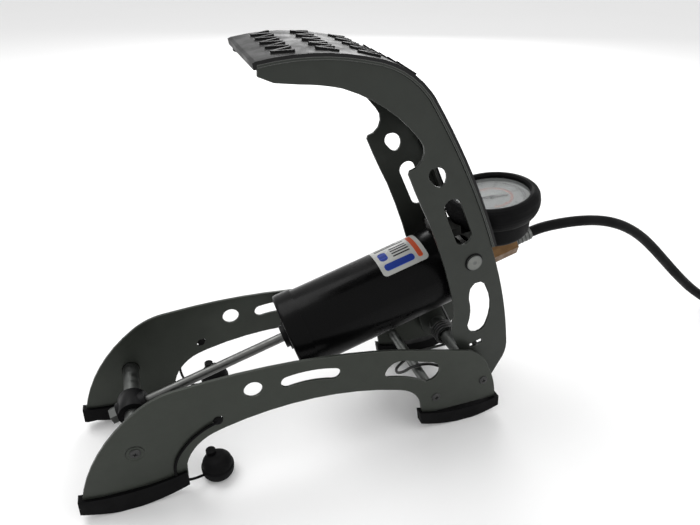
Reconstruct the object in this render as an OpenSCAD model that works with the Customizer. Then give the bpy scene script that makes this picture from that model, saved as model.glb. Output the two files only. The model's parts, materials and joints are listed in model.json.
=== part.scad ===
// Single-cylinder foot air pump.
// +X points from the front feet to the rear feet, +Y to the far side, +Z up; the feet stand on z = 0.

/* [Base] */
// Outer width over the two side plates
base_w = 85.5; // [80:0.5:92]
// Thickness of the side plates
plate_t = 2; // [1.5:0.1:2.5]
// Length of the front feet
front_foot_len = 67; // [66:0.5:68]
// Thickness of each wall of the rubber feet
foot_wall = 2.2; // [1.5:0.1:2.4]

/* [Pedal] */
// Outer width over the two lever flanges
lever_w = 70; // [69:0.5:72]
// Thickness of the lever flanges
flange_t = 2; // [1.5:0.1:2]
// Thickness of the bent top sheet
web_t = 1.5; // [1.2:0.1:1.8]
// Thickness of the rubber tread under its ribs
pad_t = 1.8; // [1.5:0.1:2.2]
// Height of the ribs on the tread
rib_h = 1.2; // [0.8:0.1:1.5]
// Width of the gap in the top sheet that clears the gauge
fork_gap = 54; // [52:1:56]

/* [Cylinder] */
// Outside diameter of the cylinder tube
barrel_d = 55; // [54:0.5:56]
// Wall of the cylinder tube
barrel_wall = 1.5; // [1.2:0.1:2]
// Length of the cylinder tube with its front collar
barrel_len = 120; // [118:0.5:121]
// Diameter of the piston rod
rod_d = 6.4; // [6:0.1:7]
// Angle of the cylinder above the floor at rest
rod_angle = 17; // [16:0.5:18]

/* [Gauge] */
// Diameter of the dial
dial_d = 52; // [50:1:53]
// Largest diameter of the rubber boot
boot_d = 66; // [65:0.5:67]
// Lean of the gauge towards the pedal
gauge_lean = 9; // [7:1:11]

/* [Hose] */
// Outside diameter of the hose
hose_d = 8; // [7.5:0.1:8.5]

/* [Return spring] */
// Wire diameter of the return spring
spring_wire = 2.2; // [2:0.1:2.8]
// Turns in each of its two coils
spring_turns = 5; // [4:1:5]

/* [Hidden] */
$fn = 64;

fit = 0.05;             // radial clearance of a running fit
gap = 0.4;              // space between pieces that move past each other
plate_y = base_w / 2;   // outer face of a side plate
flange_y = lever_w / 2; // outer face of a lever flange

// Main axes, as [x, z]
front_axle = [-127.4, 44.6];
pivot = [116, 33];
anchor = [77.9, 27.9];
trunnion = [100.4, 132.5];

cross_tube_d = 11;
screw_d = 5;
screw_head_r = 3.4;
pivot_axle_d = 9;
anchor_bar_d = 7.5;
trunnion_d = 8;
trunnion_slack = 5;     // the head's lug is open this far round the pin

// Places along the cylinder's axis, measured from the front axle
barrel_start = 113.5;
barrel_end = barrel_start + barrel_len;
collar_len = 13;
head_end = barrel_end + 18;
spigot_len = 5;         // the head's spigot inside the tube
piston_at = 138;        // front face of the piston, near the gland at rest
piston_len = 9;
outlet_drop = 8.5;      // the outlet lies this far under the cylinder's axis
outlet_end = 291;
outlet_af = 17;         // across flats
barrel_r = barrel_d / 2;
bore_r = barrel_r - barrel_wall;
stem_at = 275;
ferrule_len = 15;

// Gauge, measured up its own axis from the dial's face
dial_up = 43;           // dial above the outlet's axis
rim_up = 49;            // top of the boot's rim
dial_r = dial_d / 2;
boot_r = boot_d / 2;
boot_low_r = 25.5;

// ---------- outlines ----------

// Centre of the circle through three points
function centre3(a, b, c) =
    let (d = 2 * (a[0] * (b[1] - c[1]) + b[0] * (c[1] - a[1]) + c[0] * (a[1] - b[1])),
         qa = a * a, qb = b * b, qc = c * c)
    [(qa * (b[1] - c[1]) + qb * (c[1] - a[1]) + qc * (a[1] - b[1])) / d,
     (qa * (c[0] - b[0]) + qb * (a[0] - c[0]) + qc * (b[0] - a[0])) / d];

function turn(v) = v > 180 ? turn(v - 360) : v < -180 ? turn(v + 360) : v;

// Points of the arc from a through b to c, in n steps
function arc3(a, b, c, n = 8) =
    let (o = centre3(a, b, c), r = norm(a - o),
         t0 = atan2(a[1] - o[1], a[0] - o[0]),
         first = turn(atan2(b[1] - o[1], b[0] - o[0]) - t0),
         second = turn(atan2(c[1] - o[1], c[0] - o[0]) - t0 - first))
    [for (i = [0:n]) let (t = t0 + (first + second) * i / n) o + r * [cos(t), sin(t)]];

function unit(v) = v / norm(v);
function left(v) = [-v[1], v[0]];
function heading(p, i) = unit(p[min(i + 1, len(p) - 1)] - p[max(i - 1, 0)]);
function moved(p, d) = [for (i = [0:len(p) - 1]) p[i] + d * left(heading(p, i))];
function reversed(p) = [for (i = [len(p) - 1:-1:0]) p[i]];
// The strip between two offsets of a path
function strip(p, low, high) = concat(moved(p, high), reversed(moved(p, low)));

// Extrudes an x-z outline from y = from to y = to
module slab(from, to) {
    translate([0, to, 0]) rotate([90, 0, 0]) linear_extrude(to - from) children();
}

module at_xz(p) { translate([p[0], 0, p[1]]) children(); }

// A round bar along Y
module bar_y(r, from, to) {
    translate([0, to, 0]) rotate([90, 0, 0]) cylinder(r = r, h = to - from);
}

// Both sides of the pump
module both() {
    children();
    mirror([0, 1, 0]) children();
}

// Local frame of the cylinder: x along its axis from the front axle, z square to it
module on_axis() {
    at_xz(front_axle) rotate([0, -rod_angle, 0]) children();
}

// A ring or disc along the cylinder's axis
module turned(from, to, outer, inner = 0) {
    on_axis() translate([from, 0, 0]) rotate([0, 90, 0]) difference() {
        cylinder(r = outer, h = to - from);
        if (inner > 0) translate([0, 0, -1]) cylinder(r = inner, h = to - from + 2);
    }
}

module on_outlet() {
    on_axis() translate([0, 0, -outlet_drop]) children();
}

// Local frame of the gauge: z up its own axis, 0 at the outlet's axis
module on_gauge() {
    on_outlet() translate([stem_at, 0, 0]) rotate([0, rod_angle - gauge_lean, 0]) children();
}

// ---------- base ----------

// Rubber's upper edges and the floor line of each foot
front_tip = [-99.4 - front_foot_len, 6.4];
front_sole = concat(arc3(front_tip, [-156, 2.7], [-144, 0]), arc3([-131, 0], [-116, 2.6], [-99.4, 8]));
rear_sole = concat(arc3([66.6, 7], [80, 2.8], [97, 0]), arc3([110, 0], [122, 2.4], [131.4, 5.6]));
front_rubber_top = arc3([-165.8, 17.4], [-136, 14.4], [-99.8, 19.6]);
rear_rubber_top = arc3([64.9, 17.8], [97, 11.4], [130.6, 14.8]);

plate_top = concat(
    arc3([-163.8, 15], [-146, 53], [-121, 77.2]),
    arc3([-121, 77.2], [-110, 83], [-96, 85.8]),
    arc3([-95, 85.9], [-28, 88.1], [45, 78.9]),
    arc3([101, 64.2], [113, 55], [119.5, 43.5]),
    arc3([119.5, 43.5], [125.5, 29], [128.2, 14]));
plate_under = concat(
    [[68.4, 14], [66.6, 20]],
    arc3([66.2, 22], [60, 36], [50, 42.6]),
    arc3([46, 44], [-14, 54.6], [-72, 48]),
    arc3([-76, 46.8], [-92, 37], [-98.6, 25]),
    [[-99.2, 15]]);

// Rounded three-cornered window beside the rear feet
window_outline = concat(
    arc3([37, 60], [41, 67], [49, 69]),
    arc3([52, 68.6], [62, 64.8], [73, 61.2]),
    arc3([77, 58.4], [78.6, 52], [71.5, 45.2]),
    arc3([69, 44.8], [55, 52.6], [38.6, 57.4]));

slot_path = arc3([-30, 73.4], [-14, 74.2], [1, 71.6]);
slot_w = 8.6;

module plate_sheet() {
    difference() {
        polygon(concat(plate_top, plate_under));
        translate([-52.1, 73.6]) circle(r = 5.9);
        translate([-75.9, 55.4]) rotate(38) union() {
            square([5, 2.6], center = true);
            for (s = [-1, 1]) translate([2.5 * s, 0]) circle(r = 1.3);
        }
        polygon(strip(slot_path, -slot_w / 2, slot_w / 2));
        for (p = [slot_path[0], slot_path[len(slot_path) - 1]]) translate(p) circle(r = slot_w / 2);
        polygon(window_outline);
        for (p = [front_axle, pivot, anchor]) translate(p) circle(r = screw_d / 2 + fit);
    }
}

module side_plate_near() {
    color("DimGray") slab(-plate_y, -plate_y + plate_t) plate_sheet();
}

module side_plate_far() {
    color("DimGray") slab(plate_y - plate_t, plate_y) plate_sheet();
}

inner_wall_z = 5.5;

// Rubber channel under a foot, pushed over the plate's lower edge
module foot(sole, rubber_top) {
    out = plate_y + foot_wall;
    in = plate_y - plate_t - foot_wall;
    difference() {
        slab(-out, -in) polygon(concat(reversed(rubber_top), sole));
        slab(-plate_y - 0.01, -plate_y + plate_t + 0.01) polygon(concat(plate_top, plate_under));
        // the inner wall stops above the floor
        translate([-200, -plate_y + plate_t, -1]) cube([400, foot_wall + 1, inner_wall_z + 1]);
    }
}

module front_foot_near() { color("black") foot(front_sole, front_rubber_top); }
module front_foot_far() { color("black") mirror([0, 1, 0]) foot(front_sole, front_rubber_top); }
module rear_foot_near() { color("black") foot(rear_sole, rear_rubber_top); }
module rear_foot_far() { color("black") mirror([0, 1, 0]) foot(rear_sole, rear_rubber_top); }

// Countersunk-style screw whose head stands on the plate and whose shank ends inside an axle
module plate_screw(p, depth) {
    at_xz(p) {
        bar_y(screw_d / 2, -plate_y, -plate_y + depth);
        bar_y(screw_head_r, -plate_y - 1.2, -plate_y);
    }
}

module front_axle_screws() { color("Silver") both() plate_screw(front_axle, 14); }
module pivot_screws() { color("Silver") both() plate_screw(pivot, 14); }
module anchor_screws() { color("Silver") both() plate_screw(anchor, 12); }

// A bar between the plates with a threaded hole in each end
module tie_bar(p, r, depth) {
    y = plate_y - plate_t;
    at_xz(p) difference() {
        bar_y(r, -y, y);
        both() bar_y(screw_d / 2, -y - 1, -plate_y + depth);
    }
}

module pivot_axle() { color("LightGray") tie_bar(pivot, pivot_axle_d / 2, 14); }
module spring_anchor_bar() { color("LightGray") tie_bar(anchor, anchor_bar_d / 2, 12); }

coil_r = 8.6;                           // middle of the spring's wire from the pivot
coil_pitch = spring_wire + 0.6;
coil_in = 14;                           // inner end of each coil, from the middle plane
coil_sweep = 360 * (spring_turns - 1) + 116;
coil_out = coil_in + coil_pitch * coil_sweep / 360;
hook_at = [110.8, 62.9];                // the spring's hook in the slot of the lever flange
turn_steps = 12;

// The spring's front loop: over the anchor bar on the near side, back under it on the far side
spring_loop = [[107, -14, 24.6], [98, -13.8, 27.4], [90, -13.4, 31.6], [84, -13, 33.4], [77.5, -12.6, 33.8],
    [72.3, -11, 31.6], [68.8, -8.6, 27.4], [66, -5, 23.4], [65.2, -1, 21.2], [67, 3.5, 20.2], [71.5, 7.5, 20],
    [77.5, 10.5, 20.8], [84, 12.4, 22.6], [92, 13.4, 24], [107, 14, 24.4]];

// One coil of the spring's wire, from its foot to the hook in the flange
function spring_coil() =
    let (steps = round(turn_steps * coil_sweep / 360))
    concat(
        [for (i = [0:steps])
            let (a = 270 + coil_sweep * i / steps)
            [pivot[0] + coil_r * cos(a), coil_in + (coil_out - coil_in) * i / steps, pivot[1] + coil_r * sin(a)]],
        [[hook_at[0] + 0.8, coil_out, hook_at[1] - 3], [hook_at[0], coil_out + 2.2, hook_at[1]],
         [hook_at[0], flange_y + 2, hook_at[1]]]);

function flip_y(p) = [p[0], -p[1], p[2]];

module return_spring() {
    coil = spring_coil();
    near = [for (p = reversed(coil)) flip_y(p)];
    color("SlateGray") tube_along(concat(near, smooth(spring_loop, 2), coil), spring_wire / 2, 6);
}

// ---------- tethered caps ----------

tether_d = 1.8;
cap_r = 10.9;
cap_h = 16.4;
cap_bore = 5.8;
cap_near = [-80, -34.5];
cap_far = [-69, 57];

// Smooth closed tube along a route, with the given sides
function cross3(a, b) = [a[1] * b[2] - a[2] * b[1], a[2] * b[0] - a[0] * b[2], a[0] * b[1] - a[1] * b[0]];
function catmull(a, b, c, d, t) =
    0.5 * (2 * b + (c - a) * t + (2 * a - 5 * b + 4 * c - d) * t * t + (3 * b - a - 3 * c + d) * t * t * t);
function smooth(p, n) = concat(
    [for (i = [0:len(p) - 2]) for (k = [0:n - 1])
        catmull(p[max(i - 1, 0)], p[i], p[i + 1], p[min(i + 2, len(p) - 1)], k / n)],
    [p[len(p) - 1]]);
function carry(p, i, side) =
    let (t = unit(p[min(i + 1, len(p) - 1)] - p[max(i - 1, 0)])) unit(side - (side * t) * t);
function sides(p, i, side) =
    i == len(p) ? [] : let (s = carry(p, i, side)) concat([s], sides(p, i + 1, s));

module tube_along(route, r, count) {
    s = sides(route, 0, [0, 0.2, 1]);
    n = len(route);
    rings = [for (i = [0:n - 1])
        let (t = unit(route[min(i + 1, n - 1)] - route[max(i - 1, 0)]), u = cross3(t, s[i]))
        for (k = [0:count - 1]) route[i] + r * (cos(360 * k / count) * s[i] + sin(360 * k / count) * u)];
    walls = [for (i = [0:n - 2]) for (k = [0:count - 1])
        let (a = i * count + k, b = i * count + (k + 1) % count) [a, a + count, b + count, b]];
    ends = [[for (k = [0:count - 1]) k], [for (k = [count - 1:-1:0]) (n - 1) * count + k]];
    polyhedron(points = rings, faces = concat(walls, ends), convexity = 6);
}

tether_near_route = [[-75.9, -42, 55.4], [-77.6, -43.8, 54.8], [-85.5, -43.9, 51.4], [-95.2, -43.9, 44.2],
    [-103, -43.9, 34.4], [-106.2, -43.9, 26], [-106.6, -43.7, 19], [-104.6, -43.4, 13.6], [-99.4, -43, 10.6],
    [-94.6, -41.2, 8.4], [-89.6, -38.5, 6.4]];
tether_far_route = [[-75.9, 42, 55.4], [-77.6, 43.8, 54.8], [-86, 44.2, 50.4], [-92.4, 44.8, 41], [-94, 46, 30],
    [-92.4, 48, 19], [-88, 50.4, 10], [-82, 52.8, 6.4], [-78.6, 54.2, 6]];

module tether_near() { color("black") tube_along(smooth(tether_near_route, 2), tether_d / 2, 8); }
module tether_far() { color("black") tube_along(smooth(tether_far_route, 2), tether_d / 2, 8); }

// Rubber cap standing on its open rim, with a pull tab on its crown
module storage_cap(p) {
    translate([p[0], p[1], 0]) difference() {
        union() {
            rotate_extrude() polygon(concat(
                [[0, 0], [cap_bore + 1.2, 0]],
                arc3([cap_bore + 1.4, 0.1], [cap_r - 1.4, 2.2], [cap_r - 0.1, 6]),
                [[cap_r, 7], [cap_r, 8.6], [cap_r - 0.8, 9.4]],
                arc3([cap_r - 0.9, 10], [cap_r - 2.4, cap_h - 2], [cap_r - 6, cap_h - 0.2]),
                [[0, cap_h + 0.4]]));
            rotate(125) translate([cap_r - 5.6, 0, cap_h - 5]) cylinder(r = 3.3, h = 7.4);
        }
        translate([0, 0, -1]) cylinder(r = cap_bore, h = 14);
    }
}

module storage_cap_near() { color("black") storage_cap(cap_near); }
module storage_cap_far() { color("black") storage_cap(cap_far); }

// ---------- pedal ----------

// Outer edge of the flanges, from the front lip over the bend and down to the pointed tips
pedal_path = concat(
    arc3([-33.4, 265.4], [-8, 267.6], [21, 264.6], 6),
    arc3([24, 263.9], [44, 256.7], [58, 244.8], 6),
    arc3([60, 242.4], [89, 193.6], [113, 141.4], 10));

flange_outline = concat(
    pedal_path,
    arc3([114.6, 137.4], [130.6, 89], [137.2, 57], 8),
    arc3([137.2, 57], [137, 49], [133.6, 40], 4),
    arc3([128.4, 29], [118, 20.6], [105.6, 24.6], 5),
    arc3([102.4, 30], [98.6, 44], [97.6, 60], 3),
    arc3([94, 67.4], [90.2, 77], [90.4, 92], 4),
    arc3([90, 97], [79.5, 131.5], [66.2, 165.3], 4),
    arc3([66.2, 165.3], [57.4, 183], [50, 199.6], 3),
    arc3([50.6, 202], [58.6, 208.4], [58.6, 216], 4),
    arc3([56, 220], [36.4, 238.4], [10, 252.2], 6),
    arc3([10, 252.2], [0, 254.4], [-12.4, 255.9], 4),
    [[-25.5, 257.6], [-33.6, 261.2]]);

kidney_outline = concat(
    arc3([100.4, 108], [105.6, 115.6], [111.4, 113.2], 4),
    arc3([113.4, 109.4], [118.6, 92], [117, 79.6], 5),
    arc3([116, 76.6], [110, 73], [103.6, 76.4], 4),
    arc3([102, 80.6], [103, 92], [100.6, 103], 4));

module flange_sheet() {
    difference() {
        polygon(flange_outline);
        polygon([[66.2, 201.9], [68.9, 202.1], [71.3, 201.2], [73.4, 199.4], [74.6, 197], [75, 194.2], [74.5, 191.6],
            [73.2, 189.8], [71.4, 189.2], [69.3, 189.6], [67.5, 190.8], [64, 194.6], [63.1, 196.4], [63, 198.4],
            [63.7, 200.4], [64.8, 201.5]]);
        polygon(strip([[81, 174.6], [91, 152.6]], -5.8, 5.8));
        for (p = [[81, 174.6], [91, 152.6]]) translate(p) circle(r = 5.8);
        polygon(kidney_outline);
        translate(hook_at) rotate(17) square([9.6, 3.6], center = true);
        translate(trunnion) circle(r = trunnion_d / 2);
        translate(pivot) circle(r = sleeve_r);
    }
}

sleeve_r = 7;

module lever_flange_near() {
    color("Gray") slab(-flange_y, -flange_y + flange_t) flange_sheet();
}

module lever_flange_far() {
    color("Gray") slab(flange_y - flange_t, flange_y) flange_sheet();
}

// The gauge passes through this gap between the two pointed tips
fork_top = 184;

module fork_cut() {
    translate([90, -fork_gap / 2, 80]) cube([90, fork_gap, fork_top - 80]);
    translate([50, 0, 184]) rotate([0, 90, 0]) cylinder(r = fork_gap / 2, h = 90);
}

web_lip = 0.8;           // the top sheet stands this far past the flanges

module pedal_web() {
    color("Silver") difference() {
        slab(-flange_y - web_lip, flange_y + web_lip) polygon(strip(pedal_path, 0.01, web_t));
        fork_cut();
    }
}

// Columns of V-shaped ribs stand on the tread, their points to the front
rib_from = 16;          // first column behind the front edge, along the tread
rib_step = 23;
rib_count = 9;
rib_rows = 5;
rib_w = 1.7;
rib_len = 12;
rib_open = 5;
lip_h = 2.2;

module rib_v() {
    for (side = [-1, 1]) rotate([0, 0, side * atan2(rib_open, rib_len)])
        translate([0, -rib_w / 2, -0.8]) cube([rib_len, rib_w, rib_h + 0.8]);
}

// How many points along a path a distance along it is
function after(p, d, i = 0) = let (l = norm(p[i + 1] - p[i]))
    d <= l || i + 2 >= len(p) ? i + min(d / l, 0.99) : after(p, d - l, i + 1);

// A point, and the path's direction there, part of the way between two of its points
function along(p, at) = let (i = floor(at), t = at - i) p[i] * (1 - t) + p[i + 1] * t;
function slope(p, at) = let (i = floor(at), d = p[i + 1] - p[i]) atan2(d[1], d[0]);

module tread_pad() {
    half = flange_y + web_lip;
    surface = moved(pedal_path, web_t + pad_t);
    tip = pedal_path[0];
    color("black") {
        difference() {
            union() {
                slab(-half, half) polygon(strip(pedal_path, web_t + 0.01, web_t + pad_t));
                slab(-half, half) polygon([surface[0], tip + [-0.01, web_t + 0.01], tip + [-0.01, web_t - lip_h],
                    tip + [-pad_t, web_t - lip_h], surface[0] + [-pad_t, -0.8]]);
            }
            fork_cut();
        }
        for (column = [0:rib_count - 1], k = [0:rib_rows - 1]) {
            at = after(surface, rib_from + rib_step * column);
            p = along(surface, at);
            y = (k - (rib_rows - 1) / 2) * (2 * half - 8) / rib_rows;
            if (p[1] > fork_top + 8 || abs(y) > fork_gap / 2 + rib_open)
                translate([p[0], y, p[1]]) rotate([0, -slope(surface, at), 0])
                    translate([-rib_len / 2, 0, 0]) rib_v();
        }
    }
}

// Tube that spaces the flanges and turns on the pivot axle, inside the spring's coils
module pivot_sleeve() {
    color("LightGray") at_xz(pivot) difference() {
        union() {
            bar_y(pivot_axle_d / 2 + 1.4, -flange_y, flange_y);
            both() bar_y(sleeve_r, -flange_y, -flange_y + flange_t);
        }
        bar_y(pivot_axle_d / 2 + fit, -flange_y - 1, flange_y + 1);
    }
}

// Cross pin with a round head outside each flange
module trunnion_pin() {
    color("Silver") at_xz(trunnion) {
        bar_y(trunnion_d / 2, -flange_y, flange_y);
        both() bar_y(5.4, -flange_y - 1.6, -flange_y);
    }
}

// ---------- rod and piston ----------

module front_cross_tube() {
    y = plate_y - plate_t - gap;
    color("LightGray") at_xz(front_axle) difference() {
        bar_y(cross_tube_d / 2, -y, y);
        both() bar_y(screw_d / 2 + fit, -y - 1, -plate_y + 15);
        rotate([0, 90 - rod_angle, 0]) cylinder(r = rod_d / 2, h = 40, center = true);
    }
}

// Block clamped round the cross tube that carries the rod
module rod_bush() {
    color("DimGray") difference() {
        union() {
            at_xz(front_axle) bar_y(9.4, -8, 8);
            turned(-9.4, 10.5, 6.8);
        }
        at_xz(front_axle) bar_y(cross_tube_d / 2, -9, 9);
        turned(-20, 20, rod_d / 2);
    }
}

module piston_rod() {
    color("Silver") turned(-11, piston_at + piston_len + 6, rod_d / 2);
}

module rod_nut() {
    color("Silver") {
        on_axis() translate([-14.4, 0, 0]) rotate([0, 90, 0]) difference() {
            cylinder(r = 5.6, h = 5, $fn = 6);
            translate([0, 0, -1]) cylinder(r = rod_d / 2, h = 7);
        }
        turned(-14.4, -11, rod_d / 2 - 0.4);
    }
}

module piston() {
    color("Gray") turned(piston_at, piston_at + piston_len - 5, bore_r - 0.6, rod_d / 2);
}

// Rubber cup with a lip against the bore
module piston_cup() {
    color("black") difference() {
        turned(piston_at + piston_len - 5, piston_at + piston_len + 1, bore_r - fit, rod_d / 2);
        turned(piston_at + piston_len - 2, piston_at + piston_len + 2, bore_r - 3);
    }
}

module piston_nut() {
    color("Silver") on_axis() translate([piston_at + piston_len - 2, 0, 0]) rotate([0, 90, 0]) difference() {
        cylinder(r = 6, h = 4, $fn = 6);
        translate([0, 0, -1]) cylinder(r = rod_d / 2, h = 6);
    }
}

// ---------- cylinder ----------

module barrel() {
    color("black") turned(barrel_start + 2, barrel_end, barrel_r, bore_r);
}

// Pressed steel cap on the open end of the tube
module front_collar() {
    r = barrel_r + 1.2;
    color("black") on_axis() translate([barrel_start, 0, 0]) rotate([0, 90, 0]) rotate_extrude() polygon(concat(
        [[gland_r, 0]],
        arc3([r - 2, 0], [r - 0.6, 0.6], [r, 2], 4),
        [[r, collar_len], [barrel_r, collar_len], [barrel_r, 2], [gland_r, 2]]));
}

gland_r = 8;

module rod_gland() {
    color("DimGray") {
        turned(barrel_start - 4, barrel_start + 6, gland_r, rod_d / 2 + fit);
        turned(barrel_start - 1.5, barrel_start, gland_r + 2.5, gland_r);
    }
}

// Cast end with a lug over the cross pin and a passage to the outlet
module cylinder_head() {
    color("DimGray") difference() {
        union() {
            on_axis() translate([barrel_end, 0, 0]) rotate([0, 90, 0]) rotate_extrude() polygon(concat(
                [[0, -spigot_len], [bore_r - fit, -spigot_len], [bore_r - fit, -3.8], [bore_r - 2.2, -3.8]],
                [[bore_r - 2.2, -1.2], [bore_r - fit, -1.2], [bore_r - fit, 0], [barrel_r, 0]],
                arc3([barrel_r, 5], [barrel_r - 3.4, 13], [barrel_r - 11.5, 18], 5),
                [[0, 18]]));
            on_axis() translate([barrel_end + 0.5, -13, 8]) cube([24, 26, 24.5]);
            on_outlet() translate([head_end - 4, 0, 0]) rotate([0, 90, 0]) cylinder(r = 9.5, h = 5);
        }
        at_xz(trunnion) bar_y(trunnion_d / 2 + trunnion_slack, -40, 40);
        // the gauge's boot stands clear of the lug
        on_gauge() {
            translate([0, 0, 14]) cylinder(r = boot_low_r + 2, h = 40);
            translate([0, 0, 30.5]) cylinder(r = boot_r + 1, h = 30);
        }
        on_outlet() translate([barrel_end - spigot_len - 1, 0, 0]) rotate([0, 90, 0]) cylinder(r = 3, h = 40);
    }
}

// Ring in the groove of the head's spigot
module head_seal() {
    color("black") on_axis() translate([barrel_end - 2.5, 0, 0]) rotate([0, 90, 0])
        rotate_extrude() translate([bore_r - 1.12, 0]) circle(r = 1.06, $fn = 16);
}

// Non-return valve in the outlet's passage
valve_at = 259;

module check_valve_ball() {
    color("Silver") on_outlet() translate([valve_at, 0, 0]) sphere(r = 2.6, $fn = 32);
}

module check_valve_spring() {
    color("Silver") on_outlet() translate([valve_at + 2.9, 0, 0]) rotate([0, 90, 0]) difference() {
        cylinder(r = 2.6, h = 8);
        translate([0, 0, -1]) cylinder(r = 2, h = 10);
    }
}

// Brass hexagon screwed into the head, with the gauge on top and the hose at its end
module outlet_fitting() {
    from = head_end + 1;
    color("Peru") difference() {
        union() {
            on_outlet() translate([from + 3, 0, 0]) rotate([0, 90, 0]) rotate([0, 0, 30])
                cylinder(r = outlet_af / 2 / cos(30), h = outlet_end - from - 3, $fn = 6);
            on_outlet() translate([from, 0, 0]) rotate([0, 90, 0]) cylinder(r = 7.6, h = 3);
        }
        on_outlet() translate([from - 1, 0, 0]) rotate([0, 90, 0]) cylinder(r = 3, h = outlet_end - from + 2);
        on_gauge() cylinder(r = 2, h = 20);
    }
}

// ---------- gauge ----------

module gauge_stem() {
    color("Peru") on_gauge() difference() {
        translate([0, 0, 9]) cylinder(r = 5, h = 16);
        translate([0, 0, 8]) cylinder(r = 2, h = 18);
    }
}

// Tin can that holds the works
module gauge_case() {
    color("Silver") on_gauge() difference() {
        union() {
            translate([0, 0, 25]) cylinder(r = boot_low_r - 2.6, h = 6);
            translate([0, 0, 31]) cylinder(r = dial_r + 1.4, h = dial_up - 31 + 2.2);
        }
        translate([0, 0, 27]) cylinder(r = boot_low_r - 4, h = 30);
        translate([0, 0, 32.5]) cylinder(r = dial_r, h = 30);
    }
}

// Thick rubber boot: a wide rim over a narrower body
module gauge_boot() {
    color("black") on_gauge() difference() {
        rotate_extrude() polygon(concat(
            [[5.3, 17], [boot_low_r - 3.5, 17]],
            arc3([boot_low_r - 2, 17.4], [boot_low_r - 0.8, 18.6], [boot_low_r - 0.2, 20.4], 3),
            [[boot_low_r + 1.2, 31.6]],
            arc3([boot_r - 3.4, 32.4], [boot_r - 0.7, 37], [boot_r, 41], 4),
            arc3([boot_r - 0.2, 43], [boot_r - 2.2, rim_up - 1.2], [boot_r - 4.6, rim_up], 4),
            [[dial_r + 1, rim_up], [dial_r - 0.2, rim_up - 1.4], [dial_r - 0.2, dial_up + 2.4]],
            [[dial_r + 1.5, dial_up + 2.4], [dial_r + 1.5, 30.9], [boot_low_r - 2.5, 30.9], [boot_low_r - 2.5, 24.9],
             [5.3, 24.9]]));
    }
}

module gauge_dial() {
    color("White") on_gauge() difference() {
        translate([0, 0, dial_up - 1]) cylinder(r = dial_r - 0.1, h = 1);
        translate([0, 0, dial_up - 2]) cylinder(r = 1.5, h = 3);
    }
}

module gauge_lens() {
    color("LightCyan") on_gauge() translate([0, 0, dial_up + 2.2]) cylinder(r = dial_r + 1.2, h = 0.2);
}

// Pointer with its shaft and a counterweight tail
module gauge_needle() {
    color("black") on_gauge() {
        translate([0, 0, dial_up + 0.6]) rotate([0, 0, needle_rest]) linear_extrude(0.4)
            polygon([[-11, -0.9], [-11, 0.9], [0, 1.1], [dial_r - 5, 0.25], [dial_r - 5, -0.25], [0, -1.1]]);
        translate([0, 0, dial_up - 4]) cylinder(r = 1.4, h = 5.4);
    }
}

needle_rest = 161;

// Sticker bent round the tube
label_from = 187.5;
label_to = 221.5;
label_w = 31;
label_turn = 3;         // its middle, round the tube from the top towards the near side

module label() {
    color("White") intersection() {
        turned(label_from, label_to, barrel_r + 0.25, barrel_r + 0.02);
        on_axis() rotate([label_turn, 0, 0]) translate([label_from - 1, -label_w / 2, 10])
            cube([label_to - label_from + 2, label_w, 30]);
    }
}

// ---------- hose ----------

// Steel sleeve crimped on the end of the hose
module hose_ferrule() {
    color("Silver") on_outlet() translate([outlet_end, 0, 0]) rotate([0, 90, 0]) difference() {
        cylinder(r = hose_d / 2 + 1.1, h = ferrule_len);
        translate([0, 0, 6]) cylinder(r = hose_d / 2, h = ferrule_len);
    }
}

hose_r = hose_d / 2;
coil_mid = [436, -46];
hose_coil_r = 44;
// Down from the outlet's sleeve to where the hose meets its coil
hose_route = [[159.4, 0, 123.4], [163.5, 0, 124.6], [167.7, 0, 125.9], [176, 0, 127.8], [186, 0, 128.8], [200, 0, 129],
    [214, 0, 128.2], [228, 0, 126.2], [242, 0, 122.6], [256, 0, 117], [270, 0, 109.2], [284, 0, 99.2],
    [298, 0, 87.4], [312, 0, 74.8], [326, 0, 62.2], [340, 0, 50], [354, 0, 38.6], [368, 0, 28.4],
    [382, -0.2, 19.2], [396, -0.8, 11.6], [404, -1.2, 8.4]];
chuck_at = [480, -92, 8.5];
tail_route = [[480, -46, 12.2], [480, -54, 12.2], [480, -62, 11.6], [480, -70, 10.5], [480, -78, 9.3],
    [480, -86, 8.6], chuck_at];

module hose() { color("black") tube_along(hose_route, hose_r, 12); }
module hose_tail() { color("black") tube_along(tail_route, hose_r, 12); }

module hose_coil() {
    color("black") translate([coil_mid[0], coil_mid[1], 0]) rotate_extrude()
        translate([hose_coil_r - hose_r, 0]) square([hose_d, 2 * hose_d]);
}

// ---------- valve chuck ----------

module on_chuck() { translate(chuck_at) rotate([90, 0, 0]) children(); }

module chuck_sleeve() {
    color("DimGray") on_chuck() difference() {
        translate([0, 0, 0.2]) cylinder(r = 6, h = 11.8);
        translate([0, 0, -1]) cylinder(r = hose_r, h = 10);
    }
}

valve_r = 4.1;
seal_r = 5.5;

module chuck_body() {
    color("DimGray") on_chuck() difference() {
        union() {
            translate([0, 0, 12]) cylinder(r = 8.5, h = 28);
            for (s = [-1, 1]) translate([s * 7 - 1.5, 5, 17]) cube([3, 9.5, 11]);
        }
        translate([0, 0, 20]) cylinder(r = valve_r, h = 30);
        translate([0, 0, 33]) cylinder(r = seal_r, h = 5);
        translate([-5.5, 7, 15]) cube([11, 12, 14]);
        translate([-20, 11, 22.5]) rotate([0, 90, 0]) cylinder(r = 1.5, h = 40);
    }
}

module chuck_seal() {
    color("black") on_chuck() translate([0, 0, 33]) difference() {
        cylinder(r = seal_r - fit, h = 5);
        translate([0, 0, -1]) cylinder(r = valve_r + fit, h = 7);
    }
}

module chuck_pin() {
    color("Silver") on_chuck() translate([-8.5, 11, 22.5]) rotate([0, 90, 0]) cylinder(r = 1.5, h = 17);
}

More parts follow.
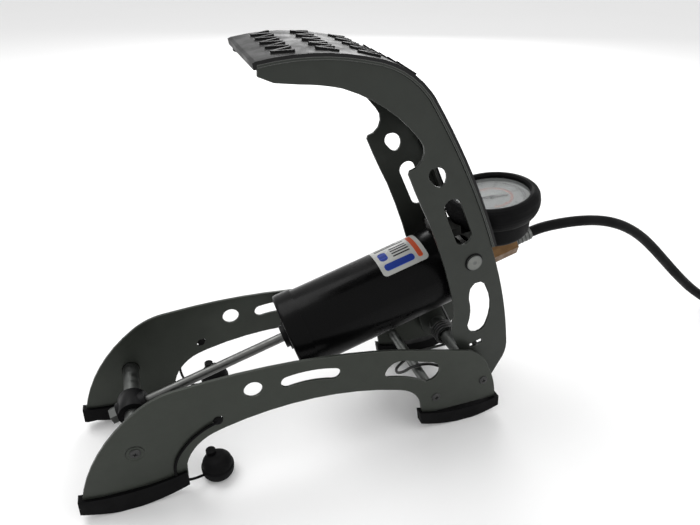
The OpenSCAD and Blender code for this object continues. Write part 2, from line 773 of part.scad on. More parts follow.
// Thumb lever that squeezes the seal
module chuck_lever() {
    color("DimGray") on_chuck() difference() {
        union() {
            translate([-5, 11, 22.5]) rotate([0, 90, 0]) cylinder(r = 3.2, h = 10);
            translate([-5, 10.6, -2]) cube([10, 3.2, 24]);
        }
        translate([-9, 11, 22.5]) rotate([0, 90, 0]) cylinder(r = 1.5 + fit, h = 20);
    }
}

side_plate_near();
side_plate_far();
front_foot_near();
front_foot_far();
rear_foot_near();
rear_foot_far();
front_axle_screws();
pivot_axle();
pivot_screws();
spring_anchor_bar();
anchor_screws();
return_spring();
tether_near();
tether_far();
storage_cap_near();
storage_cap_far();
lever_flange_near();
lever_flange_far();
pedal_web();
tread_pad();
pivot_sleeve();
trunnion_pin();
front_cross_tube();
rod_bush();
piston_rod();
rod_nut();
piston();
piston_cup();
piston_nut();
barrel();
front_collar();
rod_gland();
cylinder_head();
head_seal();
check_valve_ball();
check_valve_spring();
outlet_fitting();
gauge_stem();
gauge_boot();
gauge_case();
gauge_dial();
gauge_lens();
gauge_needle();
label();
hose_ferrule();
hose();
hose_coil();
hose_tail();
chuck_sleeve();
chuck_body();
chuck_seal();
chuck_pin();
chuck_lever();
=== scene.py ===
import json
import math

import bmesh
import bpy
from mathutils import Euler, Matrix, Vector


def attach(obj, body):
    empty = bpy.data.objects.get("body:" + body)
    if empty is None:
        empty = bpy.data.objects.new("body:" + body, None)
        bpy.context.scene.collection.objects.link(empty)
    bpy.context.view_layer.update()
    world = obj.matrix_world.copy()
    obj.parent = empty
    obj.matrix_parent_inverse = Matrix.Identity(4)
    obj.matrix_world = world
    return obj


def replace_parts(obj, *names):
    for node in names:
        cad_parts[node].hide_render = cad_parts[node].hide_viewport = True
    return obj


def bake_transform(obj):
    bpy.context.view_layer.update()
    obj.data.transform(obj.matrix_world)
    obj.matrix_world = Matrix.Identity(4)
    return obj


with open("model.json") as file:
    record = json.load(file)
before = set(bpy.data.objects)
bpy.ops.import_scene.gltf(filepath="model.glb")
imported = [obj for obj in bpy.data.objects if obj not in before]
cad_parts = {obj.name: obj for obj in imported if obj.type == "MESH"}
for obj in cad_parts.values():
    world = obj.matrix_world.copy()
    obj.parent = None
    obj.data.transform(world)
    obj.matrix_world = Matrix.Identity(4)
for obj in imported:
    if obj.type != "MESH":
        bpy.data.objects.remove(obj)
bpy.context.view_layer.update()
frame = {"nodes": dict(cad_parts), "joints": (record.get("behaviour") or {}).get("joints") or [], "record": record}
joints = {j["name"]: j for j in frame["joints"]}
MM = 0.001


def mm(*point):
    return Vector(point) * MM


# ---------- camera ----------

FOCAL = 591.8      # of an image 700 wide
YAW = 19.42        # from +Y towards +X
PITCH = 30.23      # below the horizon
ROLL = 0.16
EYE = (-88.1, -325.3, 327.9)


def add_camera():
    data = bpy.data.cameras.new("camera")
    data.sensor_width = 36
    data.lens = FOCAL * 36 / 700
    data.clip_start = 0.01
    data.clip_end = 50
    camera = bpy.data.objects.new("camera", data)
    turn = Euler((math.radians(90 - PITCH), 0, math.radians(-YAW))).to_matrix()
    spin = Matrix.Rotation(math.radians(ROLL), 3, "Z")
    camera.matrix_world = Matrix.Translation(mm(*EYE)) @ (turn @ spin).to_4x4()
    bpy.context.collection.objects.link(camera)
    bpy.context.scene.camera = camera


# ---------- nodes for materials ----------

NOISE_ROUGHNESS = 0.55


class Paint:
    """A node material built round one Principled shader."""

    def __init__(self, name, color, roughness, metallic=0.0, **sockets):
        self.material = bpy.data.materials.new(name)
        self.material.use_nodes = True
        self.tree = self.material.node_tree
        self.shader = self.tree.nodes["Principled BSDF"]
        self.shader.inputs["Base Color"].default_value = (*color, 1)
        self.shader.inputs["Roughness"].default_value = roughness
        self.shader.inputs["Metallic"].default_value = metallic
        for socket, value in sockets.items():
            self.shader.inputs[socket.replace("_", " ")].default_value = value
        self.color = (*color, 1)
        self.color_out = None
        self.height = None
        self.place = self.node("ShaderNodeTexCoord").outputs["Object"]

    def node(self, kind, **settings):
        n = self.tree.nodes.new(kind)
        for k, v in settings.items():
            setattr(n, k, v)
        return n

    def link(self, a, b):
        self.tree.links.new(a, b)

    def scaled(self, scale):
        m = self.node("ShaderNodeMapping")
        m.inputs["Scale"].default_value = scale
        self.link(self.place, m.inputs["Vector"])
        return m.outputs["Vector"]

    def noise(self, scale, detail=3.0, stretch=(1, 1, 1)):
        n = self.node("ShaderNodeTexNoise")
        n.inputs["Scale"].default_value = scale
        n.inputs["Detail"].default_value = detail
        n.inputs["Roughness"].default_value = NOISE_ROUGHNESS
        self.link(self.scaled(stretch), n.inputs["Vector"])
        return n.outputs["Fac"]

    def band(self, value, low, high, to_low=0.0, to_high=1.0):
        """Maps value from low..high to to_low..to_high, smoothly."""
        n = self.node("ShaderNodeMapRange", interpolation_type="SMOOTHSTEP")
        self.link(value, n.inputs["Value"])
        n.inputs["From Min"].default_value = low
        n.inputs["From Max"].default_value = high
        n.inputs["To Min"].default_value = to_low
        n.inputs["To Max"].default_value = to_high
        return n.outputs["Result"]

    def math(self, operation, a, b=None):
        """A sum or product of sockets and numbers."""
        n = self.node("ShaderNodeMath", operation=operation)
        for socket, v in zip(n.inputs, (a, b)):
            if isinstance(v, (int, float)):
                socket.default_value = v
            elif v is not None:
                self.link(v, socket)
        return n.outputs["Value"]

    def tint(self, mask, color):
        """Mixes color in where mask is 1."""
        n = self.node("ShaderNodeMix", data_type="RGBA")
        self.link(mask, n.inputs["Factor"])
        # colour sockets of a Mix node sit behind the float ones
        a, b = n.inputs[6], n.inputs[7]
        if self.color_out is None:
            a.default_value = self.color
        else:
            self.link(self.color_out, a)
        b.default_value = (*color, 1)
        self.color_out = n.outputs[2]
        self.link(self.color_out, self.shader.inputs["Base Color"])

    def rough(self, value, low, high):
        self.link(self.band(value, 0.3, 0.7, low, high), self.shader.inputs["Roughness"])

    def raise_by(self, value, depth):
        """Adds value, from 0 to 1, times depth in metres to the bump."""
        part = self.math("MULTIPLY", value, depth)
        self.height = part if self.height is None else self.math("ADD", self.height, part)

    def edges(self, radius, color, amount=0.6):
        """Worn, lighter paint along edges."""
        bevel = self.node("ShaderNodeBevel", samples=6)
        bevel.inputs["Radius"].default_value = radius
        surface = self.node("ShaderNodeNewGeometry").outputs["Normal"]
        dot = self.node("ShaderNodeVectorMath", operation="DOT_PRODUCT")
        self.link(bevel.outputs["Normal"], dot.inputs[0])
        self.link(surface, dot.inputs[1])
        worn = self.band(dot.outputs["Value"], 0.80, 0.97, amount, 0.0)
        self.tint(worn, color)

    def up(self):
        """1 where the surface faces up."""
        n = self.node("ShaderNodeSeparateXYZ")
        self.link(self.node("ShaderNodeNewGeometry").outputs["Normal"], n.inputs["Vector"])
        return self.band(n.outputs["Z"], 0.3, 0.95)

    def done(self):
        if self.height is not None:
            bump = self.node("ShaderNodeBump")
            bump.inputs["Strength"].default_value = 1.0
            bump.inputs["Distance"].default_value = 1.0
            self.link(self.height, bump.inputs["Height"])
            self.link(bump.outputs["Normal"], self.shader.inputs["Normal"])
        return self.material


def enamel(name, color):
    """Satin silver-grey enamel with fine flake and paler edges."""
    p = Paint(name, color, 0.42, 0.5, Specular_IOR_Level=0.2, Coat_Weight=0.05, Coat_Roughness=0.3)
    p.tint(p.band(p.noise(90, 4), 0.35, 0.75, 0.0, 0.35), tuple(c * 0.78 for c in color))
    p.tint(p.band(p.noise(5200, 1), 0.55, 0.75, 0.0, 0.5), tuple(min(1, c * 1.6) for c in color))
    p.edges(0.0009, (0.16, 0.165, 0.16), 0.7)
    p.rough(p.noise(60, 4), 0.30, 0.44)
    p.raise_by(p.noise(1500, 2), 0.000012)
    return p


def rubber(name, color, roughness, grain=900, sheen=0.07):
    """Matt rubber with a little dust on top."""
    p = Paint(name, color, roughness, 0.0, Specular_IOR_Level=sheen)
    p.tint(p.band(p.noise(45, 4), 0.4, 0.8, 0.0, 0.4), tuple(c * 1.8 for c in color))
    dust = p.math("MULTIPLY", p.up(), p.band(p.noise(160, 6), 0.5, 0.85, 0.0, 0.12))
    p.tint(dust, (0.02, 0.0195, 0.0185))
    p.edges(0.0006, tuple(c * 2.4 for c in color), 0.4)
    p.rough(p.noise(70, 4), roughness - 0.08, roughness + 0.12)
    p.raise_by(p.noise(grain, 3), 0.00003)
    return p


def metal(name, color, roughness, stretch=(1, 1, 1), grain=0.00001):
    p = Paint(name, color, roughness, 1.0)
    p.tint(p.band(p.noise(70, 4), 0.4, 0.9, 0.0, 0.3), tuple(c * 0.72 for c in color))
    p.rough(p.noise(220, 4, stretch), roughness - 0.06, roughness + 0.14)
    p.raise_by(p.noise(1400, 2, stretch), grain)
    return p


def plastic(name, color, roughness):
    """Smooth plastic or print."""
    p = Paint(name, color, roughness, 0.0, Specular_IOR_Level=0.12)
    p.tint(p.band(p.noise(80, 3), 0.4, 0.8, 0.0, 0.4), tuple(c * 1.7 for c in color))
    p.edges(0.0005, tuple(c * 3 for c in color), 0.4)
    p.rough(p.noise(120, 3), roughness - 0.07, roughness + 0.09)
    p.raise_by(p.noise(2200, 2), 0.00001)
    return p


def gloss_black():
    """The barrel's black enamel."""
    p = Paint("black_paint", (0.0015, 0.0015, 0.0016), 0.26, 0.0, Specular_IOR_Level=0.07, Coat_Weight=0.03,
              Coat_Roughness=0.1)
    p.tint(p.band(p.noise(30, 4), 0.45, 0.8, 0.0, 0.4), (0.003, 0.003, 0.0032))
    p.edges(0.0006, (0.015, 0.015, 0.015), 0.4)
    p.rough(p.noise(40, 4), 0.22, 0.36)
    p.raise_by(p.noise(420, 2), 0.000018)
    return p


def glass():
    p = Paint("clear_lens", (0.5, 0.52, 0.52), 0.06, 0.0, Alpha=0.1)
    p.rough(p.noise(200, 3), 0.04, 0.08)
    return p


def sticker():
    p = Paint("sticker", (0.34, 0.345, 0.33), 0.4, 0.0, Coat_Weight=0.06)
    p.tint(p.band(p.noise(150, 4), 0.45, 0.8, 0.0, 0.3), (0.28, 0.28, 0.27))
    p.rough(p.noise(90, 3), 0.24, 0.38)
    return p


def dished(p):
    """Pressed ring round each front axle screw."""
    axle = joints["rod_swing"]["pos_m"]
    split = p.node("ShaderNodeSeparateXYZ")
    p.link(p.place, split.inputs["Vector"])
    dx = p.math("SUBTRACT", split.outputs["X"], axle[0])
    dz = p.math("SUBTRACT", split.outputs["Z"], axle[2])
    away = p.math("SQRT", p.math("ADD", p.math("MULTIPLY", dx, dx), p.math("MULTIPLY", dz, dz)))
    p.raise_by(p.band(away, 0.0050, 0.0062), 0.0008)
    return p


MATERIALS = {
    "plate_paint": dished(enamel("plate_paint", (0.036, 0.040, 0.034))),
    "lever_paint": enamel("lever_paint", (0.032, 0.035, 0.031)),
    "black_paint": gloss_black(),
    "black_rubber": rubber("black_rubber", (0.0022, 0.0022, 0.0024), 0.6),
    "hose_rubber": rubber("hose_rubber", (0.0024, 0.0024, 0.0026), 0.5, 1400),
    "zinc_steel": metal("zinc_steel", (0.13, 0.135, 0.13), 0.38),
    "spring_steel": metal("spring_steel", (0.07, 0.07, 0.07), 0.42),
    "rod_chrome": metal("rod_chrome", (0.13, 0.132, 0.128), 0.36, (1, 1, 1), 0.000004),
    "cast_alloy": metal("cast_alloy", (0.035, 0.036, 0.034), 0.5, (1, 1, 1), 0.00004),
    "brass": metal("brass", (0.13, 0.075, 0.036), 0.45),
    "black_plastic": plastic("black_plastic", (0.003, 0.003, 0.0033), 0.42),
    "dial_face": plastic("dial_face", (0.15, 0.157, 0.153), 0.5),
    "needle_paint": plastic("needle_paint", (0.012, 0.012, 0.012), 0.4),
    "print": plastic("print", (0.02, 0.02, 0.022), 0.5),
    "dial_ink": plastic("dial_ink", (0.012, 0.012, 0.013), 0.5),
    "blue_print": plastic("blue_print", (0.012, 0.03, 0.19), 0.45),
    "warm_print": plastic("warm_print", (0.36, 0.055, 0.02), 0.45),
    "bright_rivet": metal("bright_rivet", (0.17, 0.175, 0.165), 0.36),
    "tread_rubber": rubber("tread_rubber", (0.006, 0.006, 0.0062), 0.5, 700, 0.2),
    "screw_zinc": metal("screw_zinc", (0.055, 0.055, 0.055), 0.4),
    "clear_lens": glass(),
    "sticker": sticker(),
}
MATERIALS = {name: p.done() for name, p in MATERIALS.items()}


# ---------- shapes ----------


SHARP = math.radians(35)            # edges steeper than this stay sharp


def added(name, mesh, material):
    """Links a mesh as a piece."""
    for face in mesh.polygons:
        face.use_smooth = True
    mesh.set_sharp_from_angle(angle=SHARP)
    mesh.materials.append(MATERIALS[material])
    piece = bpy.data.objects.new(name, mesh)
    bpy.context.collection.objects.link(piece)
    return piece


def spline(points, steps):
    """A smooth curve through the points."""
    pts = [Vector(p) for p in points]
    out = []
    for i in range(len(pts) - 1):
        a, b, c, d = pts[max(i - 1, 0)], pts[i], pts[i + 1], pts[min(i + 2, len(pts) - 1)]
        for k in range(steps):
            t = k / steps
            out.append(0.5 * (2 * b + (c - a) * t + (2 * a - 5 * b + 4 * c - d) * t ** 2
                              + (3 * b - a - 3 * c + d) * t ** 3))
    return out + [pts[-1]]


def tube(name, path, radius, material, sides):
    """A round tube along the path."""
    count = len(path)
    side = Vector((0, 0.2, 1))
    rings = []
    bm = bmesh.new()
    for i, p in enumerate(path):
        ahead = (path[min(i + 1, count - 1)] - path[max(i - 1, 0)]).normalized()
        side = (side - side.dot(ahead) * ahead).normalized()
        across = ahead.cross(side)
        rings.append([bm.verts.new(p + radius * (math.cos(a) * side + math.sin(a) * across))
                      for a in (math.tau * k / sides for k in range(sides))])
    for low, high in zip(rings, rings[1:]):
        for k in range(sides):
            bm.faces.new((low[k], low[(k + 1) % sides], high[(k + 1) % sides], high[k]))
    bm.faces.new(rings[0][::-1])
    bm.faces.new(rings[-1])
    mesh = bpy.data.meshes.new(name)
    bm.to_mesh(mesh)
    bm.free()
    return added(name, mesh, material)


def turned(name, profile, place, material, sides):
    """A closed (radius, height) outline in millimetres turned about z, then placed."""
    bm = bmesh.new()
    rings = []
    for r, h in profile:
        if r == 0:
            rings.append([bm.verts.new(place @ mm(0, 0, h))] * sides)
        else:
            rings.append([bm.verts.new(place @ mm(r * math.cos(a), r * math.sin(a), h))
                          for a in (math.tau * k / sides for k in range(sides))])
    pairs = list(zip(rings, rings[1:]))
    if profile[0][0] > 0 and profile[-1][0] > 0:
        pairs.append((rings[-1], rings[0]))
    for low, high in pairs:
        for k in range(sides):
            corners = dict.fromkeys((low[k], low[(k + 1) % sides], high[(k + 1) % sides], high[k]))
            if len(corners) > 2:
                bm.faces.new(corners)
    bmesh.ops.recalc_face_normals(bm, faces=bm.faces)
    mesh = bpy.data.meshes.new(name)
    bm.to_mesh(mesh)
    bm.free()
    return added(name, mesh, material)


def along(start, axis, up=(0, 0, 1)):
    """A frame at start whose z is the axis and whose x is as close to up as it can be."""
    z = Vector(axis).normalized()
    x = (Vector(up) - Vector(up).dot(z) * z).normalized()
    y = z.cross(x)
    return Matrix.Translation(start) @ Matrix((x, y, z)).transposed().to_4x4()


# ---------- places, from the joints ----------

front_axle = Vector(joints["rod_swing"]["pos_m"])
pivot = Vector(joints["pedal_press"]["pos_m"])
cylinder_axis = Vector(joints["barrel_slide"]["axis"]).normalized()
cylinder_up = Vector((-cylinder_axis.z, 0, cylinder_axis.x))
gauge_up = -Vector(joints["needle_turn"]["axis"]).normalized()
trunnion = mm(100.4, 0, 132.5)
OUTLET_DROP = 8.5 * MM
FERRULE_FROM = 291 * MM             # along the cylinder's axis from the front axle
PLATE_Y = 42.75                     # outer face of a side plate
FLANGE_Y = 35                       # outer face of a lever flange
BARREL_R = 27.5
ANCHOR = (77.9, 27.9)               # the spring's bar, x and z
SCREW_R = 3.4
outlet_axis_start = front_axle - cylinder_up * OUTLET_DROP


# ---------- hose ----------

HOSE_D = 8 * MM
RUN = [(159.4, 0, 123.4), (163.5, 0, 124.6), (167.7, 0, 125.9), (176, 0, 127.8), (186, 0, 128.8), (200, 0, 129),
       (214, 0, 128.2), (228, 0, 126.2), (242, 0, 122.6), (256, 0, 117), (270, 0, 109.2), (284, 0, 99.2),
       (298, 0, 87.4), (312, 0, 74.8), (326, 0, 62.2), (340, 0, 50), (354, 0, 38.6), (368, 0, 28.4),
       (382, -0.2, 19.2), (396, -0.8, 11.6), (404, -1.2, 8.4)]
LANDING = [(414, -1.6, 5.4), (425, -2, 4.1)]
COIL_MID = (436, -46)
COIL_R = 44
COIL_TURNED = 450                   # degrees, clockwise from its far side
LAYER = 8.3                         # the second layer over the first
TAIL = [(480, -54, 12.2), (480, -62, 11.6), (480, -70, 10.5), (480, -78, 9.3), (480, -86, 8.6), (480, -92, 8.5)]


def eased(t, start, end):
    t = min(max((t - start) / (end - start), 0), 1)
    return t * t * (3 - 2 * t)


def coil_point(turned_by):
    a = math.radians(turned_by)
    return (COIL_MID[0] + COIL_R * math.sin(a), COIL_MID[1] + COIL_R * math.cos(a),
            HOSE_D / MM / 2 + LAYER * eased(turned_by, 215, 325))


def add_hose():
    """The hose from the outlet to its chuck, bending where it meets the floor."""
    coil = [coil_point(t) for t in range(0, COIL_TURNED + 1, 15)]
    path = spline([mm(*p) for p in RUN + LANDING + coil + TAIL], 3)
    hose = tube("hose_visual", path, HOSE_D / 2, "hose_rubber", 16)
    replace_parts(hose, "hose", "hose_coil", "hose_tail")
    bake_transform(hose)
    return hose, path


# ---------- tethers ----------

TETHER_D = 1.8 * MM
TETHER_NEAR = [(-75.9, -42, 55.4), (-77.6, -43.8, 54.8), (-85.5, -43.9, 51.4), (-95.2, -43.9, 44.2),
               (-103, -43.9, 34.4), (-106.2, -43.9, 26), (-106.6, -43.7, 19), (-104.6, -43.4, 13.6),
               (-99.4, -43, 10.6), (-94.6, -41.2, 8.4), (-89.6, -38.5, 6.4)]
TETHER_FAR = [(-75.9, 42, 55.4), (-77.6, 43.8, 54.8), (-86, 44.2, 50.4), (-92.4, 44.8, 41), (-94, 46, 30),
              (-92.4, 48, 19), (-88, 50.4, 10), (-82, 52.8, 6.4), (-78.6, 54.2, 6)]
PLUG = [(0, -2.2), (2.5, -2.2), (2.5, 0), (3.1, 0.1), (2.9, 0.7), (1.6, 1.1), (0, 1.2)]


def add_tether(side, route):
    """A cap's strap, and the plug that holds it in its plate's hole."""
    path = spline([mm(*p) for p in route], 5)
    strap = tube("tether_" + side + "_strap", path, TETHER_D / 2, "black_rubber", 12)
    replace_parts(strap, "tether_" + side)
    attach(strap, "base")
    out = -1 if side == "near" else 1
    hole = along(mm(TETHER_NEAR[0][0], out * PLATE_Y, TETHER_NEAR[0][2]), (0, out, 0))
    plug = turned("tether_" + side + "_plug", PLUG, hole, "black_rubber", 32)
    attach(plug, "base")


# ---------- return spring ----------

WIRE = 2.2 * MM
COIL_IN = 14               # inner end of each coil, from the middle plane
PITCH_Y = 2.8
SWEEP = 360 * 4 + 116      # degrees
WIRE_R = 8.6
HOOK = (110.8, 62.9)
HOOK_END = 36.5            # just past the flange
LOOP = [(107, -14, 24.6), (98, -13.8, 27.4), (90, -13.4, 31.6), (84, -13, 33.4), (77.5, -12.6, 33.8),
        (72.3, -11, 31.6), (68.8, -8.6, 27.4), (66, -5, 23.4), (65.2, -1, 21.2), (67, 3.5, 20.2), (71.5, 7.5, 20),
        (77.5, 10.5, 20.8), (84, 12.4, 22.6), (92, 13.4, 24), (107, 14, 24.4)]
LOOP_MID = 8               # its middle point
LOOP_STEPS = 4


def add_spring(side):
    """Half of the spring: from the middle of its front loop to one hook."""
    y = -1 if side == "near" else 1
    outer = COIL_IN + PITCH_Y * SWEEP / 360
    steps = int(SWEEP / 18)
    coil = []
    for i in range(steps + 1):
        a = math.radians(270 + SWEEP * i / steps)
        coil.append(mm(pivot.x / MM + WIRE_R * math.cos(a), y * (COIL_IN + (outer - COIL_IN) * i / steps),
                       pivot.z / MM + WIRE_R * math.sin(a)))
    hook = [(HOOK[0] + 6, outer, HOOK[1] - 12), (HOOK[0] + 1.2, outer + 0.4, HOOK[1] - 3),
            (HOOK[0], outer + 3, HOOK[1]), (HOOK[0], HOOK_END, HOOK[1])]
    loop = spline([mm(*p) for p in LOOP], LOOP_STEPS)
    middle = LOOP_MID * LOOP_STEPS
    leg = loop[:middle + 1][::-1] if side == "near" else loop[middle:]
    path = leg[:-1] + coil + spline([mm(p[0], y * p[1], p[2]) for p in hook], 4)
    spring = tube("spring_" + side, path, WIRE / 2, "spring_steel", 12)
    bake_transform(spring)
    return spring


# ---------- screws, pin heads and the ferrule ---

def prism(name, outline, place, low, high, shrink=1.0):
    """An outline in millimetres pulled along z of place; its lower end is shrunk."""
    bm = bmesh.new()
    ends = [[bm.verts.new(place @ mm(x * k, y * k, z)) for x, y in outline]
            for z, k in ((low, shrink), (high, 1.0))]
    bm.faces.new(ends[0][::-1])
    bm.faces.new(ends[1])
    for k in range(len(outline)):
        n = (k + 1) % len(outline)
        bm.faces.new((ends[0][k], ends[0][n], ends[1][n], ends[1][k]))
    mesh = bpy.data.meshes.new(name)
    bm.to_mesh(mesh)
    bm.free()
    return mesh


def carve(piece, cutter_mesh):
    """Cuts a mesh out of a piece."""
    cutter = bpy.data.objects.new("cutter", cutter_mesh)
    bpy.context.collection.objects.link(cutter)
    m = piece.modifiers.new("carve", "BOOLEAN")
    m.object = cutter
    m.solver = "EXACT"
    mesh = bpy.data.meshes.new_from_object(piece.evaluated_get(bpy.context.evaluated_depsgraph_get()))
    piece.modifiers.clear()
    piece.data = mesh
    bpy.data.objects.remove(cutter)


def cross(reach, width):
    """The outline of a cross recess."""
    r, w = reach / 2, width / 2
    return [(r, -w), (r, w), (w, w), (w, r), (-w, r), (-w, w),
            (-r, w), (-r, -w), (-w, -w), (-w, -r), (w, -r), (w, -w)]


def add_screws(node, x, z, r, turn):
    """Cross-recessed screws in both plates, with domed heads."""
    for out in (-1, 1):
        spin = Matrix.Rotation(math.radians(turn + 31 * out), 4, "Z")
        place = along(mm(x, out * PLATE_Y, z), (0, out, 0)) @ spin
        head = turned(node + ("_near" if out < 0 else "_far"),
                      [(0, -8), (1.9, -8), (1.9, 0), (r, 0), (r, 0.3), (r * 0.86, 0.85), (r * 0.5, 1.15), (0, 1.25)],
                      place, "screw_zinc", 48)
        carve(head, prism("recess", cross(r * 1.15, 0.9), place, 0.15, 2, 0.55))
        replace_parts(head, node)
        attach(head, "base")


RIVET = [(0, -4), (3.6, -4), (3.6, 0.02), (5.2, 0.02), (5.5, 0.4), (5.35, 1.1), (4.7, 1.6), (1.5, 1.72),
         (1.1, 1.3), (0, 1.2)]
# outline of a thin black ring: painted shade under each rivet head's rim
RIVET_SHADE_RING = [(5.3, 0.01), (6.5, 0.01), (6.4, 0.25), (5.4, 0.28)]


def add_trunnion_heads():
    """Riveted heads of the cylinder's pin, each with a small dent and a dark ring of painted shade under its rim."""
    for out in (-1, 1):
        place = along(Vector((trunnion.x, out * FLANGE_Y * MM, trunnion.z)), (0, out, 0))
        head = turned("trunnion_head_" + ("near" if out < 0 else "far"), RIVET, place, "bright_rivet", 64)
        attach(head, "pedal_arm")
        # painted shade: a thin black ring where the head's rim shades the flange
        ring = turned("trunnion_shade_ring", RIVET_SHADE_RING, place, "black_plastic", 64)
        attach(ring, "pedal_arm")


def add_ferrule():
    """Crimped sleeve over the hose at the outlet."""
    place = along(outlet_axis_start + cylinder_axis * FERRULE_FROM, cylinder_axis)
    profile = [(2.6, 0), (4.4, 0), (5.05, 0.5)]
    for k in range(4):
        h = 2.6 + 3.1 * k
        profile += [(5.1, h - 0.8), (4.55, h - 0.3), (4.55, h + 0.3), (5.1, h + 0.8)]
    profile += [(5.05, 14.5), (4.7, 15), (4.1, 15), (4.1, 4), (2.6, 4)]
    sleeve = turned("ferrule_visual", profile, place, "zinc_steel", 48)
    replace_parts(sleeve, "hose_ferrule")
    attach(sleeve, "cylinder")


# ---------- gauge ----------

def dial_place():
    """The middle of the dial's face."""
    corners = [Vector(c) for c in frame["nodes"]["gauge_dial"].bound_box]
    middle = sum(corners, Vector()) / 8
    return along(middle + gauge_up * DIAL_HALF * MM, gauge_up, cylinder_axis)


SCALE_FROM = 161        # degrees from the cylinder's axis, seen from above
SCALE_SWEEP = 270
DIAL_HALF = 0.5          # half of the dial's thickness
PRINT = (0.02, 0.14)     # bottom and top of the ink over the dial


def merged(name, meshes, material):
    """One piece from several meshes."""
    bm = bmesh.new()
    for mesh in meshes:
        bm.from_mesh(mesh)
        bpy.data.meshes.remove(mesh)
    bmesh.ops.recalc_face_normals(bm, faces=bm.faces)
    mesh = bpy.data.meshes.new(name)
    bm.to_mesh(mesh)
    bm.free()
    return added(name, mesh, material)


def box_outline(x0, x1, half):
    return [(x0, -half), (x1, -half), (x1, half), (x0, half)]


def ring_mesh(name, place, inner, outer, low, high, sides=96):
    bm = bmesh.new()
    loops = [[bm.verts.new(place @ mm(r * math.cos(a), r * math.sin(a), h))
              for a in (math.tau * k / sides for k in range(sides))]
             for r, h in ((inner, low), (outer, low), (outer, high), (inner, high))]
    for low_loop, high_loop in zip(loops, loops[1:] + loops[:1]):
        for k in range(sides):
            n = (k + 1) % sides
            bm.faces.new((low_loop[k], low_loop[n], high_loop[n], high_loop[k]))
    mesh = bpy.data.meshes.new(name)
    bm.to_mesh(mesh)
    bm.free()
    return mesh


def number_mesh(value, place, size):
    """A printed number, centred on place."""
    curve = bpy.data.curves.new("number", "FONT")
    curve.body = str(value)
    curve.size = size * MM
    curve.align_x = "CENTER"
    curve.align_y = "CENTER"
    curve.extrude = 0.05 * MM
    letter = bpy.data.objects.new("number", curve)
    bpy.context.collection.objects.link(letter)
    mesh = bpy.data.meshes.new_from_object(letter.evaluated_get(bpy.context.evaluated_depsgraph_get()))
    bpy.data.objects.remove(letter)
    mesh.transform(place)
    return mesh


def on_scale(step, steps):
    """The angle of a mark of a scale with this many steps."""
    return math.radians(SCALE_FROM - SCALE_SWEEP * step / steps)


def add_dial():
    """Two scales, the outer one with generic numbers, printed on the dial."""
    place = dial_place()
    marks = [ring_mesh("outer_arc", place, 22.7, 23.2, *PRINT), ring_mesh("inner_arc", place, 14.5, 14.9, *PRINT)]
    numbers = []
    for i in range(51):
        a = on_scale(i, 50)
        outline = box_outline(19.4, 23, 0.42) if i % 5 == 0 else box_outline(20.8, 23, 0.26)
        marks.append(prism("tick", outline, place @ Matrix.Rotation(a, 4, "Z"), *PRINT))
        if i % 10 == 0:
            at = place @ Matrix.Translation(mm(17.6 * math.cos(a), 17.6 * math.sin(a), 0.08))
            numbers.append(number_mesh(i // 5, at @ Matrix.Rotation(math.radians(90), 4, "Z"), 3.4))
    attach(merged("dial_marks", marks, "dial_ink"), "cylinder")
    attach(merged("dial_numbers", numbers, "dial_ink"), "cylinder")
    inner = []
    for i in range(36):
        outline = box_outline(12.2 if i % 5 == 0 else 13.1, 14.7, 0.26)
        inner.append(prism("tick", outline, place @ Matrix.Rotation(on_scale(i, 35), 4, "Z"), *PRINT))
    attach(merged("dial_inner_print", inner, "warm_print"), "cylinder")


# ---------- sticker ----------

LABEL = (187.5, 221.5)      # along the cylinder's axis from the front axle
LABEL_TURN = 3              # of its middle, from the top towards the near side
LABEL_HALF = 32.5 / 27.5 / 2
INK = 0.25                  # the ink's height over the barrel


def on_barrel(s, across, lift):
    """A point s along the axis and across millimetres round the barrel from the label's middle."""
    angle = across / BARREL_R - math.radians(LABEL_TURN)
    r = BARREL_R + lift
    return (front_axle + cylinder_axis * s * MM + cylinder_up * r * math.cos(angle) * MM
            + Vector((0, 1, 0)) * r * math.sin(angle) * MM)


def patch(name, outline, lift, thick=0.06):
    """A flat outline (along, across) bent round the barrel."""
    bm = bmesh.new()
    bm.faces.new([bm.verts.new((x * MM, y * MM, 0)) for x, y in outline])
    for cut_at in range(-16, 17):
        geometry = bm.verts[:] + bm.edges[:] + bm.faces[:]
        bmesh.ops.bisect_plane(bm, geom=geometry, plane_co=(0, cut_at * MM, 0), plane_no=(0, 1, 0))
    sheet = bmesh.ops.extrude_face_region(bm, geom=bm.faces[:])
    raised = {v for v in sheet["geom"] if isinstance(v, bmesh.types.BMVert)}
    for v in bm.verts:
        v.co = on_barrel(v.co.x / MM, v.co.y / MM, lift + (thick if v in raised else 0))
    bmesh.ops.recalc_face_normals(bm, faces=bm.faces)
    mesh = bpy.data.meshes.new(name)
    bm.to_mesh(mesh)
    bm.free()
    return mesh


def rounded(x0, x1, y0, y1, r, steps=6):
    """The outline of a rectangle with round corners."""
    out = []
    for cx, cy, start in ((x1 - r, y0 + r, -90), (x1 - r, y1 - r, 0), (x0 + r, y1 - r, 90), (x0 + r, y0 + r, 180)):
        for a in (math.radians(start + 90 * k / steps) for k in range(steps + 1)):
            out.append((cx + r * math.cos(a), cy + r * math.sin(a)))
    return out


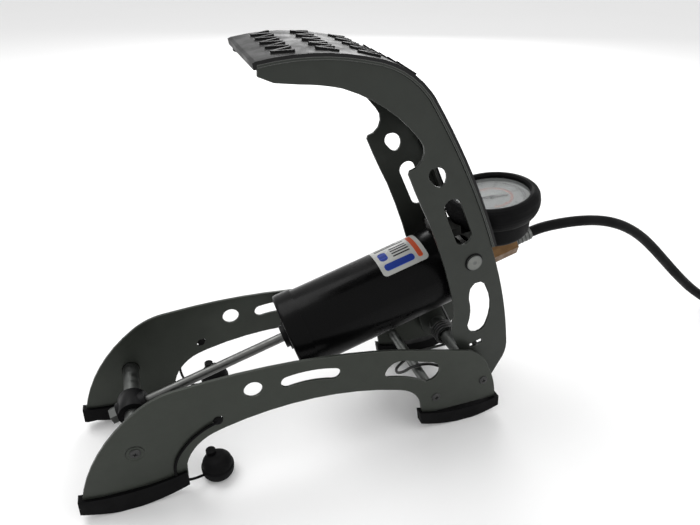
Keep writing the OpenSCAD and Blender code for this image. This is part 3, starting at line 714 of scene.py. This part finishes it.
def add_label():
    """A sticker with plain bars and lines where the real one has marks."""
    low, high = LABEL
    half = LABEL_HALF * BARREL_R
    sheet = added("label_sheet", patch("label_sheet", rounded(low, high, -half, half, 3), 0.02, 0.23), "sticker")
    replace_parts(sheet, "label")
    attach(sheet, "cylinder")
    bars = [rounded(low + 3, high - 9, -13, -7.6, 2.2), rounded(low + 3, low + 9, -4.6, 4.6, 2.6),
            rounded(high - 6.6, high - 3, -13, 13, 1.6)]
    for k, (outline, color) in enumerate(zip(bars, ("blue_print", "blue_print", "warm_print"))):
        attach(added("label_bar_%d" % k, patch("bar", outline, INK), color), "cylinder")
    lines = [(low + 12.4, high - 9, y, y + 1.3) for y in (-4.4, -1.6, 1.2, 4)]
    lines += [(low + 3, high - 9, 8.4, 9.8), (low + 3, high - 14, 11.2, 12.4)]
    printed = [patch("line", rounded(*line, 0.6), INK) for line in lines]
    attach(merged("label_lines", printed, "print"), "cylinder")


# ---------- studio ----------

def add_studio():
    bm = bmesh.new()
    bmesh.ops.create_grid(bm, x_segments=1, y_segments=1, size=40)
    mesh = bpy.data.meshes.new("floor")
    bm.to_mesh(mesh)
    bm.free()
    floor = bpy.data.objects.new("floor", mesh)
    floor.location = (0, 0, -0.0003)
    p = Paint("floor", (0.90, 0.90, 0.90), 0.7)
    p.tint(p.band(p.noise(3, 2), 0.3, 0.8, 0.0, 0.2), (0.87, 0.87, 0.87))
    mesh.materials.append(p.done())
    bpy.context.collection.objects.link(floor)

    bpy.context.scene.view_settings.view_transform = "Standard"
    world = bpy.data.worlds.new("studio")
    bpy.context.scene.world = world
    world.use_nodes = True
    world.node_tree.nodes["Background"].inputs["Color"].default_value = (1, 1, 1, 1)
    world.node_tree.nodes["Background"].inputs["Strength"].default_value = 0.85

    for name, place, aim, size, power in (
            ("key", (-0.5, 0.5, 1.3), (0, 0, 0.1), 0.9, 9),
            ("fill", (0.9, -0.9, 0.9), (0, 0, 0.1), 1.2, 4),
            ("rim", (0.6, 1.3, 0.7), (0.05, 0, 0.12), 0.8, 8)):
        data = bpy.data.lights.new(name, "AREA")
        data.size = size
        data.energy = power
        lamp = bpy.data.objects.new(name, data)
        lamp.location = place
        lamp.rotation_euler = (Vector(aim) - Vector(place)).to_track_quat("-Z", "Y").to_euler()
        bpy.context.collection.objects.link(lamp)


# ---------- CAD nodes ----------

# width of the rounded edges of a CAD node, in millimetres
BEVELS = {
    "side_plate_near": 0.35, "side_plate_far": 0.35, "lever_flange_near": 0.35, "lever_flange_far": 0.35,
    "front_foot_near": 0.7, "front_foot_far": 0.7, "rear_foot_near": 0.7, "rear_foot_far": 0.7,
    "cylinder_head": 0.8, "rod_bush": 0.8, "outlet_fitting": 0.4, "chuck_body": 0.6, "chuck_lever": 0.6,
}
# a node that looks different from its slot's other nodes
LOOKS = {"tread_pad": "tread_rubber"}


def dress_nodes():
    """Gives each CAD node its material, and round edges where they show."""
    slots = {s["node"]: s["material_slot"] for s in frame["record"]["subparts"]}
    for name, piece in frame["nodes"].items():
        material = MATERIALS[LOOKS.get(name, slots[name])]
        piece.data.materials.clear()
        piece.data.materials.append(material)
        if name in BEVELS:
            weld = piece.modifiers.new("weld", "WELD")
            weld.merge_threshold = 0.00001
            flat = piece.modifiers.new("flat", "DECIMATE")
            flat.decimate_type = "DISSOLVE"
            flat.angle_limit = math.radians(0.6)
            edge = piece.modifiers.new("edge", "BEVEL")
            edge.width = BEVELS[name] * MM
            edge.segments = 2
            edge.limit_method = "ANGLE"
            edge.angle_limit = math.radians(40)
            edge.harden_normals = True


add_camera()
add_studio()
hose, hose_path = add_hose()
add_ferrule()
add_tether("near", TETHER_NEAR)
add_tether("far", TETHER_FAR)
for side in ("near", "far"):
    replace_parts(add_spring(side), "return_spring")
add_screws("front_axle_screws", front_axle.x / MM, front_axle.z / MM, SCREW_R, 10)
add_screws("pivot_screws", pivot.x / MM, pivot.z / MM, SCREW_R, 50)
add_screws("anchor_screws", *ANCHOR, SCREW_R, 25)
add_trunnion_heads()
add_dial()
add_label()
dress_nodes()
